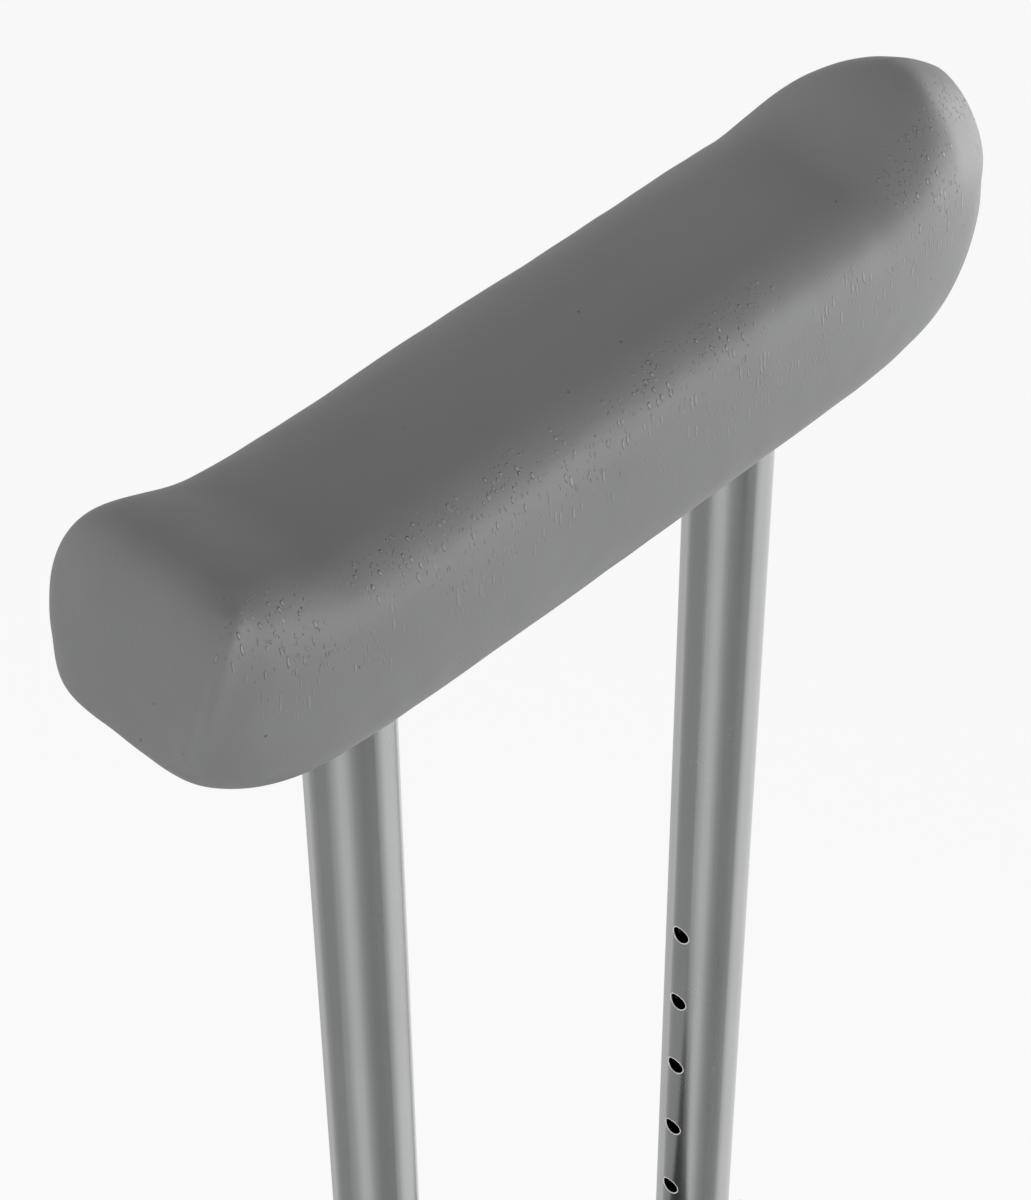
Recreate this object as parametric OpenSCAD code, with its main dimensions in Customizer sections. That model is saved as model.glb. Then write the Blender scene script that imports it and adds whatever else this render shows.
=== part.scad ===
// Pair of adjustable underarm crutches, aluminium frame, in millimetres.
// Each crutch stands on its tip: +Z up, +X along the underarm pad, the two side by side along Y.
// The origin is on the floor, midway between the two tips.

/* [Pair] */
// Distance between the two crutches, tip centre to tip centre
pair_spacing = 400; // [300:10:700]

/* [Underarm pad] */
// Length of the foam pad, end to end
pad_length = 236; // [222:1:260]
// Width of the pad near its top
pad_top_width = 55; // [50:0.5:62]
// Width of the pad near its underside
pad_bottom_width = 57; // [52:0.5:64]
// Height of the pad over its flat middle
pad_height = 49; // [46:0.5:58]
// How far the two horns rise above the flat middle
pad_horn_rise = 12; // [6:0.5:18]
// How far the underside lifts at each end
pad_end_lift = 13; // [8:0.5:16]
// Squareness of the pad's cross-section, 2 is an ellipse
pad_squareness = 3.2; // [2.8:0.1:5]
// Roundness of the pad's two ends, seen from above
pad_end_squareness = 5.4; // [4.5:0.1:8]
// Foam left under the crosspiece
pad_floor = 8; // [6:0.5:10]
// Width of the slit that the pad is pulled on by
pad_slit = 9; // [6:0.5:14]

/* [Crosspiece] */
// Length of the moulded crosspiece inside the pad
cross_length = 184; // [170:1:196]
// Width of the crosspiece
cross_width = 30; // [28:0.5:34]
// Height of the crosspiece at its middle
cross_height = 27; // [25:0.5:30]
// How far the ends of the crosspiece rise
cross_end_rise = 5; // [2:0.5:8]
// Wall of the crosspiece
cross_wall = 3; // [2:0.25:4]
// Depth of the sockets that hold the uprights
socket_depth = 21; // [18:0.5:23]
// Diameter of the rivets in the sockets
rivet_d = 4; // [3:0.25:5]
// Diameter of the rivet heads
rivet_head_d = 7.5; // [6.5:0.25:9]
// Height of the rivet heads
rivet_head_h = 1.8; // [1:0.1:2.5]

/* [Uprights] */
// Distance between the axes of the two uprights at the grip
upright_spacing = 117; // [112:1:130]
// Outside diameter of the uprights
upright_od = 20; // [19:0.5:22]
// Wall of the uprights
upright_wall = 1.4; // [1.1:0.1:2]
// Distance between neighbouring adjusting holes
hole_pitch = 25.4; // [24:0.2:27]
// Number of grip holes in each upright
grip_holes = 13; // [9:2:15]
// Diameter of the grip holes
grip_hole_d = 5.2; // [5.1:0.1:6]
// Distance from the top grip hole to the underside of the pad
pad_above_holes = 169; // [120:1:200]
// Distance from the top of the bend to the lowest grip hole
holes_above_bend = 18; // [17:1:40]
// Radius of the two bends, on the tube's axis
bend_radius = 80; // [60:1:88]
// Angle of the two bends
bend_angle = 24; // [20:0.5:28]
// Length of the straight run beside the centre tube
foot_run = 118; // [112:1:160]

/* [Centre tube] */
// Length of the centre tube
centre_length = 324; // [300:1:380]
// Wall of the centre tube
centre_wall = 1.5; // [1.2:0.1:2]
// How far the uprights reach down beside the centre tube
centre_overlap = 110; // [105:1:116]
// Distance from the lowest length hole to the end of the centre tube
centre_end_margin = 27; // [24:1:40]
// Gap between the centre tube and each upright
tube_gap = 0.3; // [0.1:0.1:0.5]

/* [Frame bolts] */
// Diameter of the bolts that tie the three tubes
frame_bolt_d = 5; // [4:0.25:6]
// Diameter of the bolt heads
frame_head_d = 10.5; // [9.5:0.25:12]
// Height of the bolt heads
frame_head_h = 3.2; // [2.4:0.1:4]
// Height of the lower bolt above the ends of the uprights
frame_bolt_low = 28; // [24:1:34]
// Distance between the two bolts
frame_bolt_pitch = 56; // [44:1:60]
// Width of the nuts across their flats
frame_nut_af = 8; // [7:0.5:9]
// Height of the nuts below their domes
frame_nut_h = 4; // [3:0.25:5]

/* [Leg] */
// Outside diameter of the leg tube
leg_od = 22.2; // [21.5:0.1:23]
// Wall of the leg tube
leg_wall = 1.3; // [1.1:0.1:1.6]
// Length of the leg tube
leg_length = 337; // [325:1:360]
// Number of leg length holes
leg_holes = 7; // [5:1:7]
// Running clearance of the leg in the centre tube, on the radius
leg_clearance = 0.1; // [0.05:0.01:0.1]
// Distance from the top of the leg to the snap buttons
button_drop = 25; // [20:1:30]
// Height of the glide ring on top of the leg
glide_h = 2.4; // [1.5:0.1:4]
// Depth of the glide ring's stub
glide_stub = 7; // [5:0.5:10]
// Outside diameter of the collar
collar_od = 32; // [31:0.5:36]
// Height of the collar around the centre tube
collar_h = 19; // [15:0.5:21]
// Thickness of the collar's lip under the centre tube
collar_lip = 5; // [3:0.5:8]

/* [Snap buttons] */
// Diameter of the snap buttons
button_d = 7; // [6:0.25:8]
// How far the buttons stand out of the centre tube
button_proud = 2.4; // [1.5:0.1:2.6]
// Width of the spring strip
spring_width = 7.5; // [6:0.25:8]
// Thickness of the spring strip
spring_t = 0.8; // [0.5:0.1:1]
// Length of the spring's legs below the buttons
spring_leg = 42; // [30:1:60]

/* [Tip] */
// Diameter of the rubber tip at the floor
tip_base_d = 47; // [42:0.5:54]
// Height of the tip's foot
tip_foot_h = 9; // [7:0.5:9.5]
// Height of the whole tip
tip_height = 60; // [52:1:70]
// Diameter of the tip's sleeve at its top
tip_top_d = 29; // [28:0.5:32]
// Diameter of the tip's sleeve at its bottom
tip_sleeve_d = 34; // [33:0.5:38]
// Rubber between the floor and the washer
tip_floor = 11; // [10:0.5:14]
// Depth of the grooves in the tread
tread_depth = 1.6; // [1:0.1:2.4]
// Thickness of the steel washer under the leg
tip_washer_t = 1.6; // [1:0.1:2]

/* [Hand grip] */
// Diameter of the foam grip at its ends
grip_d = 34; // [31:0.5:38]
// How much thicker the foam is at its middle
grip_belly = 1; // [0:0.25:3]
// Diameter of the grip's core
core_d = 22; // [20:0.5:24]
// Thickness of the core's end cups
cup_t = 5; // [4.5:0.25:7]
// Diameter of the core's end cups
cup_d = 27; // [25:0.5:29]
// Diameter of the grip bolt
grip_bolt_d = 4.8; // [4.5:0.1:4.9]
// Diameter of the grip bolt's head
grip_head_d = 11; // [10:0.25:13]
// Height of the grip bolt's head
grip_head_h = 3.6; // [2.5:0.1:5]
// Length of thread beyond the wing nut
bolt_tail = 4; // [2:0.5:8]
// Outside diameter of the curved washers
washer_d = 14; // [12.5:0.25:15.5]
// Thickness of the curved washers at their middle
washer_t = 1.6; // [1.2:0.1:2.4]

/* [Wing nut] */
// Span of the wing nut over both wings
wing_span = 30; // [26:0.5:36]
// Diameter of the wing nut's hub
wing_hub_d = 10; // [9:0.5:12]
// Height of the wing nut's hub
wing_hub_h = 6; // [5:0.5:8]
// Thickness of the wings
wing_t = 2.2; // [1.6:0.1:3]
// Radius of the wings' round ears
wing_ear_r = 5.5; // [4:0.25:6]

/* [Clearances] */
// Gap around the crosspiece inside the foam
foam_gap = 0.3; // [0.1:0.05:0.5]
// Gap between tubes and the plastic pieces they fit
plastic_gap = 0.15; // [0.05:0.05:0.25]
// Gap between bolts, rivets or buttons and their holes, on the radius
hole_gap = 0.2; // [0.1:0.05:0.3]
// Gap between pieces that slide on each other
slide_gap = 0.3; // [0.2:0.05:0.4]
// Gap between the wing nut's thread and the grip bolt, on the radius
thread_gap = 0.08; // [0.05:0.01:0.1]

/* [Hidden] */
$fn = 64;
cut = 1;
pad_facets_along = 34;
pad_facets_around = 28;
pad_horn_start = 0.54;
pad_lift_start = 0.74;
pad_nose_height = 0.52;
pad_nose_squareness = 6.8;
cross_rise_start = 0.5;
cross_curve_steps = 24;
cup_edge = 1.2;
plug_flange = 3;
plug_stub = 14;
cap_flange = 4;
cap_stub = 12;
tip_rings = 3;
wing_tilt = 24;
fillet_land = 0.15;
seam_step = 0.05;
seam_lap = 0.3;

upright_r = upright_od / 2;
upright_bore_r = upright_r - upright_wall;
leg_r = leg_od / 2;
leg_bore_r = leg_r - leg_wall;
centre_bore_r = leg_r + leg_clearance;
centre_r = centre_bore_r + centre_wall;
foot_offset = centre_r + tube_gap + upright_r;

leg_bottom = tip_floor + tip_washer_t;
leg_top = leg_bottom + leg_length;
button_z = leg_top - button_drop;
leg_travel = (leg_holes - 1) * hole_pitch;
centre_bottom = button_z - leg_travel - centre_end_margin;
centre_top = centre_bottom + centre_length;
foot_z = centre_top - centre_overlap;
bend_low_z = foot_z + foot_run;
bend_shift = upright_spacing / 2 - foot_offset;
slant_length = (bend_shift - 2 * bend_radius * (1 - cos(bend_angle))) / sin(bend_angle);
bend_top_z = bend_low_z + 2 * bend_radius * sin(bend_angle) + slant_length * cos(bend_angle);
low_hole_z = bend_top_z + holes_above_bend;
top_hole_z = low_hole_z + (grip_holes - 1) * hole_pitch;
grip_z = low_hole_z + floor((grip_holes - 1) / 2) * hole_pitch;
pad_z = top_hole_z + pad_above_holes;
cross_z = pad_z + pad_floor;
upright_top = cross_z + socket_depth;
rivet_z = cross_z + socket_depth / 2;

button_hole_d = button_d + 2 * hole_gap;
frame_hole_d = frame_bolt_d + 2 * hole_gap;
rivet_hole_d = rivet_d + 2 * hole_gap;
button_tip = centre_r + button_proud;
spring_face = hundredths(sqrt(pow(leg_bore_r, 2) - pow(spring_width / 2, 2)) - slide_gap);
button_root = spring_face + slide_gap;
grip_reach = upright_spacing / 2 + upright_r;
frame_reach = foot_offset + upright_r;
washer_face = washer_t + plastic_gap;
core_length = upright_spacing - 2 * upright_r - 2 * slide_gap;
cup_cover = upright_r * 0.35;

PIECES = [
    "underarm_pad", "crosspiece", "crosspiece_rivets", "front_upright", "rear_upright",
    "upright_plugs", "centre_tube", "centre_cap", "frame_bolts", "frame_washers", "frame_nuts",
    "leg_collar", "leg_tube", "leg_glide", "button_spring", "left_button", "right_button",
    "tip", "tip_washer", "grip_core", "grip_foam", "grip_bolt", "grip_washers", "wing_nut"
];

// Rounds down to a hundredth
function hundredths(x) = floor(100 * x) / 100;

// Eases from 0 to 1 as t goes from 0 to 1
function ease(t) = let (c = min(max(t, 0), 1)) c * c * (3 - 2 * c);

// How far a ring has closed at a, from 0 at the middle to 1 at the end
function closing(a, n) = pow(max(1 - pow(a, n), 0), 1 / n);

// One coordinate of a squared circle
function squared(c, n) = sign(c) * pow(abs(c), 2 / n);

// Height of the pad's top, underside and nose above its flat underside
function pad_top(a) = pad_height + pad_horn_rise * ease((a - pad_horn_start) / (1 - pad_horn_start));
function pad_under(a) = pad_end_lift * pow(max((a - pad_lift_start) / (1 - pad_lift_start), 0), 2);
function pad_nose() = pad_end_lift + pad_nose_height * (pad_height + pad_horn_rise - pad_end_lift);

// Points of the pad's ring at u, from -1 at the front end to 1 at the rear end
function pad_ring(u) =
    let (a = abs(u),
         nose = pad_nose(),
         close_z = closing(a, pad_nose_squareness),
         close_y = closing(a, pad_end_squareness),
         high = nose + (pad_top(a) - nose) * close_z,
         low = nose + (pad_under(a) - nose) * close_z)
    [for (j = [0 : pad_facets_around - 1])
        let (v = 360 * j / pad_facets_around,
             up = squared(sin(v), pad_squareness),
             side = squared(cos(v), pad_squareness),
             width = pad_top_width + (pad_bottom_width - pad_top_width) * (1 - up) / 2)
        [u * pad_length / 2, side * close_y * width / 2, (high + low) / 2 + up * (high - low) / 2]];

// Closed lofted body of the pad, with its flat underside at z = 0
module pad_body() {
    n = pad_facets_around;
    last = pad_facets_along - 1;
    rings = [for (i = [1 : last]) pad_ring(sin(90 * (2 * i / pad_facets_along - 1)))];
    front = [-pad_length / 2, 0, pad_nose()];
    rear = [pad_length / 2, 0, pad_nose()];
    points = concat([front], [for (ring = rings) each ring], [rear]);
    tail = len(points) - 1;
    faces = concat(
        [for (j = [0 : n - 1]) [0, 1 + j, 1 + (j + 1) % n]],
        [for (i = [0 : last - 2]) for (j = [0 : n - 1]) each
            let (a = 1 + i * n + j, b = 1 + i * n + (j + 1) % n) [[a, a + n, b], [b, a + n, b + n]]],
        [for (j = [0 : n - 1]) [tail, tail - n + (j + 1) % n, tail - n + j]]);
    polyhedron(points, faces);
}

// Straight round tube along +Z
module tube(outer_r, inner_r, length) {
    linear_extrude(length) ring(outer_r, inner_r);
}

// Flat ring
module ring(outer_r, inner_r) {
    difference() {
        circle(outer_r);
        circle(inner_r);
    }
}

// Straight run of a bent tube, lapped over the ends of the bends beside it
module run(outer_r, inner_r, length) {
    translate([0, 0, -seam_lap]) tube(outer_r, inner_r, length + 2 * seam_lap);
}

// Bent tube in the XZ plane, around the origin, from +X towards +Z, its ends inside the lapped runs
module tube_bend(radius, angle, outer_r, inner_r) {
    rotate([90, 0, 0])
        rotate_extrude(angle = angle)
            translate([radius, 0]) ring(outer_r - seam_step, inner_r + seam_step);
}

// Low dome on a round base, along +Z
module dome(base_r, height) {
    ball_r = (pow(base_r, 2) + pow(height, 2)) / (2 * height);
    intersection() {
        translate([0, 0, height - ball_r]) sphere(ball_r);
        cylinder(r = base_r + cut, h = height);
    }
}

// Lays what is drawn along +Z out along +X or +Y
module along_x() {
    rotate([0, 90, 0]) children();
}
module along_y() {
    rotate([-90, 0, 0]) children();
}

// Places a copy at both uprights' sides, the second one mirrored
module both_sides() {
    children();
    mirror([1, 0, 0]) children();
}

// Repeats a piece at both frame bolts
module at_frame_bolts() {
    for (i = [0, 1])
        translate([0, 0, foot_z + frame_bolt_low + i * frame_bolt_pitch]) children();
}

// Washer that is flat outside and hollowed to sit on a tube, its middle on the tube at the origin
module curved_washer(tube_r, bolt_d) {
    difference() {
        along_x() cylinder(d = washer_d, h = 2 * washer_t, center = true);
        translate([-tube_r, 0, 0])
            cylinder(r = tube_r + plastic_gap, h = 2 * washer_d, center = true);
        along_x() cylinder(d = bolt_d + 2 * hole_gap, h = 2 * washer_t + 2 * cut, center = true);
    }
}

// Side view of the crosspiece, grown by a gap all round
module cross_outline(gap) {
    half = cross_length / 2;
    polygon(concat(
        [[half + gap, -gap], [-half - gap, -gap]],
        [for (i = [0 : cross_curve_steps])
            let (u = 2 * i / cross_curve_steps - 1)
            [u * (half + gap),
             cross_height + gap + cross_end_rise * ease((abs(u) - cross_rise_start) / (1 - cross_rise_start))]]));
}

// Plan of the crosspiece, a bar with round ends, grown by a gap or drawn in by a wall
module cross_plan(gap) {
    half = (cross_length - cross_width) / 2;
    square([2 * half, cross_width + 2 * gap], center = true);
    for (side = [-1, 1])
        translate([side * half, 0]) circle(d = cross_width + 2 * gap);
}

// Outer block of the crosspiece with its underside at z = 0
module cross_block(gap) {
    tall = 2 * (cross_height + cross_end_rise);
    intersection() {
        rotate([90, 0, 0])
            linear_extrude(2 * cross_width, center = true) cross_outline(gap);
        translate([0, 0, -tall]) linear_extrude(2 * tall) cross_plan(gap);
    }
}

module underarm_pad() {
    color("dimgray") difference() {
        translate([0, 0, pad_z]) pad_body();
        translate([0, 0, cross_z]) cross_block(foam_gap);
        both_sides() {
            translate([upright_spacing / 2, 0, pad_z - cut])
                cylinder(r = upright_r + foam_gap, h = pad_floor + 2 * cut);
            translate([upright_spacing / 2, 0, rivet_z]) along_y()
                cylinder(d = rivet_head_d + 2 * foam_gap,
                         h = cross_width + 2 * (rivet_head_h + foam_gap), center = true);
        }
        translate([-upright_spacing / 2, -pad_slit / 2, pad_z - cut])
            cube([upright_spacing, pad_slit, pad_floor + 2 * cut]);
    }
}

module crosspiece() {
    socket_r = upright_r + plastic_gap;
    boss_r = socket_r + cross_wall;
    pocket_top = cross_height - cross_wall;
    color("black") translate([0, 0, cross_z]) difference() {
        cross_block(0);
        difference() {
            translate([0, 0, -cut]) linear_extrude(pocket_top + cut)
                cross_plan(-cross_wall);
            both_sides() translate([upright_spacing / 2, 0, -2 * cut])
                cylinder(r = boss_r, h = cross_height + 2 * cut);
            for (rib = [-1 : 1])
                translate([rib * upright_spacing / 5, 0, cross_height / 2])
                    cube([cross_wall, cross_width, cross_height + 4 * cut], center = true);
        }
        both_sides() translate([upright_spacing / 2, 0, 0]) {
            translate([0, 0, -cut]) cylinder(r = socket_r, h = socket_depth + plastic_gap + cut);
            translate([0, 0, rivet_z - cross_z]) along_y()
                cylinder(d = rivet_hole_d, h = cross_width + 2 * cut, center = true);
        }
    }
}

module crosspiece_rivets() {
    color("silver") both_sides() translate([upright_spacing / 2, 0, rivet_z]) {
        along_y() cylinder(d = rivet_d, h = cross_width, center = true);
        for (side = [0, 180])
            rotate([0, 0, side]) translate([0, cross_width / 2, 0]) along_y()
                dome(rivet_head_d / 2, rivet_head_h);
    }
}

// Rear upright, bent in towards the centre tube; the front one is its mirror image
module upright() {
    rise = bend_radius * sin(bend_angle);
    draw = bend_radius * (1 - cos(bend_angle));
    difference() {
        union() {
            translate([foot_offset, 0, foot_z])
                tube(upright_r, upright_bore_r, foot_run + seam_lap);
            translate([foot_offset + bend_radius, 0, bend_low_z]) mirror([1, 0, 0])
                tube_bend(bend_radius, bend_angle, upright_r, upright_bore_r);
            translate([foot_offset + draw, 0, bend_low_z + rise]) rotate([0, bend_angle, 0])
                run(upright_r, upright_bore_r, slant_length);
            translate([upright_spacing / 2 - bend_radius, 0, bend_top_z])
                rotate([0, bend_angle, 0])
                    tube_bend(bend_radius, bend_angle, upright_r, upright_bore_r);
            translate([upright_spacing / 2, 0, bend_top_z - seam_lap])
                tube(upright_r, upright_bore_r, upright_top - bend_top_z + seam_lap);
        }
        for (i = [0 : grip_holes - 1])
            translate([upright_spacing / 2, 0, low_hole_z + i * hole_pitch]) along_x()
                cylinder(d = grip_hole_d, h = upright_od + 2 * cut, center = true);
        at_frame_bolts() translate([foot_offset, 0, 0]) along_x()
            cylinder(d = frame_hole_d, h = upright_od + 2 * cut, center = true);
        translate([upright_spacing / 2, 0, rivet_z]) along_y()
            cylinder(d = rivet_hole_d, h = upright_od + 2 * cut, center = true);
    }
}

module front_upright() {
    color("silver") mirror([1, 0, 0]) upright();
}

module rear_upright() {
    color("silver") upright();
}

module upright_plugs() {
    color("black") both_sides() translate([foot_offset, 0, foot_z]) {
        cylinder(r = upright_bore_r - plastic_gap, h = plug_stub);
        mirror([0, 0, 1]) dome(upright_r, plug_flange);
    }
}

module centre_tube() {
    color("silver") difference() {
        translate([0, 0, centre_bottom]) tube(centre_r, centre_bore_r, centre_length);
        for (i = [0 : leg_holes - 1])
            translate([0, 0, button_z - i * hole_pitch]) along_y()
                cylinder(d = button_hole_d, h = 2 * centre_r + 2 * cut, center = true);
        at_frame_bolts() along_x()
            cylinder(d = frame_hole_d, h = 2 * centre_r + 2 * cut, center = true);
    }
}

module centre_cap() {
    color("black") translate([0, 0, centre_top]) {
        dome(centre_r, cap_flange);
        mirror([0, 0, 1]) cylinder(r = centre_bore_r - plastic_gap, h = cap_stub);
    }
}

module frame_bolts() {
    length = 2 * (frame_reach + washer_face) + frame_nut_h;
    color("gainsboro") at_frame_bolts() translate([-frame_reach - washer_face, 0, 0]) {
        along_x() cylinder(d = frame_bolt_d, h = length);
        rotate([0, -90, 0]) dome(frame_head_d / 2, frame_head_h);
    }
}

module frame_washers() {
    color("gainsboro") at_frame_bolts() both_sides()
        translate([frame_reach, 0, 0]) curved_washer(upright_r, frame_bolt_d);
}

module frame_nuts() {
    across = frame_nut_af / cos(30);
    color("gainsboro") at_frame_bolts() translate([frame_reach + washer_face, 0, 0]) along_x()
        difference() {
            union() {
                cylinder(d = across, h = frame_nut_h, $fn = 6);
                translate([0, 0, frame_nut_h]) dome(frame_nut_af / 2, frame_nut_af / 3);
            }
            translate([0, 0, -cut])
                cylinder(d = frame_bolt_d + 2 * plastic_gap, h = frame_nut_h + plastic_gap + cut);
        }
}

module leg_collar() {
    sleeve_r = centre_r + plastic_gap;
    lip_r = leg_r + leg_clearance;
    outer_r = collar_od / 2;
    bevel = (outer_r - sleeve_r) / 2;
    bottom = -collar_lip - plastic_gap;
    color("black") translate([0, 0, centre_bottom]) rotate_extrude() polygon([
        [lip_r, bottom],
        [outer_r - bevel, bottom],
        [outer_r, bottom + bevel],
        [outer_r, collar_h - 2 * bevel],
        [outer_r - bevel, collar_h],
        [sleeve_r, collar_h],
        [sleeve_r, -plastic_gap],
        [lip_r, -plastic_gap]
    ]);
}

module leg_tube() {
    color("silver") difference() {
        translate([0, 0, leg_bottom]) tube(leg_r, leg_bore_r, leg_length);
        translate([0, 0, button_z]) along_y()
            cylinder(d = button_hole_d, h = leg_od + 2 * cut, center = true);
    }
}

module leg_glide() {
    stub_r = leg_bore_r - plastic_gap;
    color("black") translate([0, 0, leg_top]) difference() {
        union() {
            cylinder(r = leg_r, h = glide_h);
            mirror([0, 0, 1]) cylinder(r = stub_r, h = glide_stub);
        }
        translate([0, 0, -glide_stub - cut])
            cylinder(r = stub_r - glide_h, h = glide_stub + glide_h + 2 * cut);
    }
}

// Tongue with straight sides and a round lower end, its round centred on the origin
module tongue(half_width, height) {
    circle(half_width);
    translate([-half_width, 0]) square([2 * half_width, height]);
}

module button_spring() {
    height = spring_leg + button_d / 2 + spring_width / 4;
    color("lightsteelblue") translate([0, 0, button_z - spring_leg]) rotate([90, 0, 90])
        linear_extrude(spring_width, center = true) difference() {
            tongue(spring_face, height);
            tongue(spring_face - spring_t, height + cut);
        }
}

module snap_button() {
    color("gainsboro") translate([0, button_root, button_z]) along_y() {
        shank = button_tip - button_root - button_d / 4;
        cylinder(d = button_d, h = shank);
        translate([0, 0, shank]) dome(button_d / 2, button_d / 4);
    }
}

module left_button() {
    snap_button();
}

module right_button() {
    mirror([0, 1, 0]) snap_button();
}

module tip() {
    base_r = tip_base_d / 2;
    sleeve_r = tip_sleeve_d / 2;
    top_r = tip_top_d / 2;
    bore_r = leg_r + plastic_gap;
    shoulder = base_r - sleeve_r;
    ring_pitch = (base_r - leg_r / 2) / (tip_rings + 0.5);
    color("dimgray") rotate_extrude() difference() {
        union() {
            polygon([
                [0, 0], [base_r - 2 * tread_depth, 0], [base_r - tread_depth, tread_depth],
                [base_r, tip_foot_h], [sleeve_r, tip_foot_h + shoulder],
                [top_r, tip_height - top_r / 5], [top_r, tip_height], [0, tip_height]
            ]);
            translate([top_r, tip_height - top_r / 5]) circle(r = top_r / 8);
        }
        translate([0, tip_floor]) square([bore_r, tip_height]);
        translate([sleeve_r + shoulder, tip_foot_h + shoulder]) circle(r = shoulder - fillet_land);
        for (i = [0 : tip_rings - 1])
            translate([leg_r / 2 + i * ring_pitch, -cut])
                square([ring_pitch / 2, tread_depth + cut]);
    }
}

module tip_washer() {
    color("gainsboro") translate([0, 0, tip_floor])
        tube(leg_r, leg_bore_r / 2, tip_washer_t);
}

module grip_core() {
    half = core_length / 2;
    color("black") translate([0, 0, grip_z]) difference() {
        along_x() {
            cylinder(d = core_d, h = core_length, center = true);
            for (side = [0, 1]) mirror([0, 0, side])
                translate([0, 0, half - cup_t]) cylinder(d1 = cup_d - cup_edge, d2 = cup_d, h = cup_t + cup_cover);
        }
        both_sides() translate([upright_spacing / 2, 0, 0])
            cylinder(r = upright_r + slide_gap, h = 2 * cup_d, center = true);
        along_x() cylinder(d = grip_bolt_d + 2 * hole_gap, h = upright_spacing, center = true);
    }
}

module grip_foam() {
    half = core_length / 2 - cup_t - foam_gap;
    edge = (grip_d - core_d) / 4;
    end_r = grip_d / 2;
    belly_ball = (pow(half - edge, 2) + pow(grip_belly, 2)) / (2 * max(grip_belly, 0.01));
    color("dimgray") translate([0, 0, grip_z]) along_x() rotate_extrude() difference() {
        union() {
            translate([0, -half]) square([end_r - edge, 2 * half]);
            translate([0, -half + edge]) square([end_r, 2 * (half - edge)]);
            for (side = [-1, 1])
                translate([end_r - edge, side * (half - edge)]) circle(r = edge);
            intersection() {
                translate([end_r + grip_belly - belly_ball, 0]) circle(r = belly_ball, $fn = 360);
                translate([0, -half + edge]) square([2 * end_r, 2 * (half - edge)]);
            }
        }
        translate([-cut, -half - cut]) square([core_d / 2 + foam_gap + cut, 2 * (half + cut)]);
    }
}

module grip_bolt() {
    seat = grip_reach + washer_face;
    color("gainsboro") translate([-seat, 0, grip_z]) {
        along_x() cylinder(d = grip_bolt_d, h = 2 * seat + slide_gap + wing_hub_h + bolt_tail);
        rotate([0, -90, 0]) dome(grip_head_d / 2, grip_head_h);
    }
}

module grip_washers() {
    color("gainsboro") translate([0, 0, grip_z]) both_sides()
        translate([grip_reach, 0, 0]) curved_washer(upright_r, grip_bolt_d);
}

// Outline of one wing, standing out to +X from the hub's axis
module wing_outline() {
    reach = wing_span / 2 - wing_ear_r;
    translate([reach, 0]) circle(r = wing_ear_r);
    polygon([[0, -wing_ear_r / 2], [reach, -wing_ear_r], [reach, wing_ear_r], [0, wing_ear_r / 2]]);
}

module wing_nut() {
    color("gainsboro") translate([grip_reach + washer_face + slide_gap, 0, grip_z]) along_x()
        difference() {
            union() {
                cylinder(d1 = wing_hub_d + 1, d2 = wing_hub_d - 1.5, h = wing_hub_h);
                for (side = [0, 180])
                    rotate([0, 0, side]) translate([0, 0, wing_hub_h / 2]) rotate([0, -wing_tilt, 0])
                        rotate([90, 0, 0]) linear_extrude(wing_t, center = true)
                            wing_outline();
            }
            translate([0, 0, -cut - wing_span / 2])
                cylinder(d = grip_bolt_d + 2 * thread_gap, h = wing_span + 2 * cut);
        }
}

// Places the first crutch at +Y and the second at -Y
module first() {
    translate([0, pair_spacing / 2, 0]) children();
}
module second() {
    translate([0, -pair_spacing / 2, 0]) children();
}

first() underarm_pad();  // first_underarm_pad
first() crosspiece();  // first_crosspiece
first() crosspiece_rivets();  // first_crosspiece_rivets
first() front_upright();  // first_front_upright
first() rear_upright();  // first_rear_upright
first() upright_plugs();  // first_upright_plugs
first() centre_tube();  // first_centre_tube
first() centre_cap();  // first_centre_cap
first() frame_bolts();  // first_frame_bolts
first() frame_washers();  // first_frame_washers
first() frame_nuts();  // first_frame_nuts
first() leg_collar();  // first_leg_collar
first() leg_tube();  // first_leg_tube
first() leg_glide();  // first_leg_glide
first() button_spring();  // first_button_spring
first() left_button();  // first_left_button
first() right_button();  // first_right_button
first() tip();  // first_tip
first() tip_washer();  // first_tip_washer
first() grip_core();  // first_grip_core
first() grip_foam();  // first_grip_foam
first() grip_bolt();  // first_grip_bolt
first() grip_washers();  // first_grip_washers
first() wing_nut();  // first_wing_nut
second() underarm_pad();  // second_underarm_pad
second() crosspiece();  // second_crosspiece
second() crosspiece_rivets();  // second_crosspiece_rivets
second() front_upright();  // second_front_upright
second() rear_upright();  // second_rear_upright
second() upright_plugs();  // second_upright_plugs
second() centre_tube();  // second_centre_tube
second() centre_cap();  // second_centre_cap
second() frame_bolts();  // second_frame_bolts
second() frame_washers();  // second_frame_washers
second() frame_nuts();  // second_frame_nuts
second() leg_collar();  // second_leg_collar
second() leg_tube();  // second_leg_tube
second() leg_glide();  // second_leg_glide
second() button_spring();  // second_button_spring
second() left_button();  // second_left_button
second() right_button();  // second_right_button
second() tip();  // second_tip
second() tip_washer();  // second_tip_washer
second() grip_core();  // second_grip_core
second() grip_foam();  // second_grip_foam
second() grip_bolt();  // second_grip_bolt
second() grip_washers();  // second_grip_washers
second() wing_nut();  // second_wing_nut
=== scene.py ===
import math

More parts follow.
